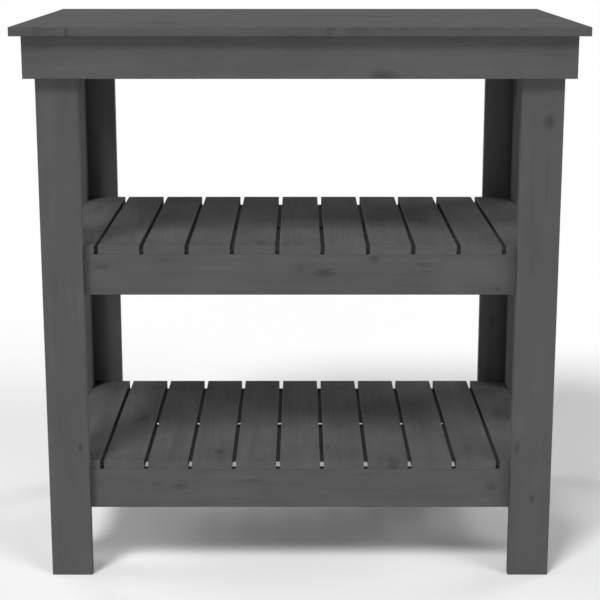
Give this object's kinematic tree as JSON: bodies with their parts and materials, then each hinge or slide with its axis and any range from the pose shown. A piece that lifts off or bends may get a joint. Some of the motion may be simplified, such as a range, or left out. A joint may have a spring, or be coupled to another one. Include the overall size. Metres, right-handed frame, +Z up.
{
  "type": "potting bench",
  "caption": "Standing wooden garden bench with a solid worktop on an apron frame, four L-shaped legs and two slatted storage shelves, finished in grey.",
  "frame": {"origin": "on the ground under the middle of the worktop", "axes": "+Z up, -Y to the front, +X to the right seen from the front"},
  "size_m": [0.825, 0.5, 0.842],
  "materials": {
    "top_panel": "grey stained and sealed softwood panel, low sheen",
    "apron": "grey stained softwood board, low sheen",
    "leg": "grey stained softwood board, low sheen",
    "rail": "grey stained softwood board, low sheen",
    "slat": "grey stained softwood slat, low sheen",
    "dowel": "bare beech, fluted and glued in",
    "zinc_steel": "bright zinc plate"
  },
  "bodies": {
    "root": {"top_panel": "top_panel", "top_batten_left": "rail", "top_batten_middle": "rail", "top_batten_right": "rail", "apron_front": "apron", "apron_back": "apron", "apron_left": "apron", "apron_right": "apron", "front_left_leg_face_board": "leg", "front_left_leg_side_board": "leg", "front_right_leg_face_board": "leg", "front_right_leg_side_board": "leg", "back_left_leg_face_board": "leg", "back_left_leg_side_board": "leg", "back_right_leg_face_board": "leg", "back_right_leg_side_board": "leg", "low_shelf_front_rail": "rail", "low_shelf_back_rail": "rail", "low_shelf_middle_rail": "rail", "low_shelf_left_end_rail": "rail", "low_shelf_right_end_rail": "rail", "low_shelf_slat_01": "slat", "low_shelf_slat_02": "slat", "low_shelf_slat_03": "slat", "low_shelf_slat_04": "slat", "low_shelf_slat_05": "slat", "low_shelf_slat_06": "slat", "low_shelf_slat_07": "slat", "low_shelf_slat_08": "slat", "low_shelf_slat_09": "slat", "low_shelf_slat_10": "slat", "low_shelf_slat_11": "slat", "mid_shelf_front_rail": "rail", "mid_shelf_back_rail": "rail", "mid_shelf_middle_rail": "rail", "mid_shelf_left_end_rail": "rail", "mid_shelf_right_end_rail": "rail", "mid_shelf_slat_01": "slat", "mid_shelf_slat_02": "slat", "mid_shelf_slat_03": "slat", "mid_shelf_slat_04": "slat", "mid_shelf_slat_05": "slat", "mid_shelf_slat_06": "slat", "mid_shelf_slat_07": "slat", "mid_shelf_slat_08": "slat", "mid_shelf_slat_09": "slat", "mid_shelf_slat_10": "slat", "mid_shelf_slat_11": "slat", "leg_dowels": "dowel", "apron_dowels": "dowel", "apron_screws": "zinc_steel", "top_brackets": "zinc_steel", "top_screws": "zinc_steel", "low_shelf_frame_screws": "zinc_steel", "low_shelf_leg_screws": "zinc_steel", "low_shelf_slat_brads": "zinc_steel", "mid_shelf_frame_screws": "zinc_steel", "mid_shelf_leg_screws": "zinc_steel", "mid_shelf_slat_brads": "zinc_steel"}
  },
  "joints": []
}
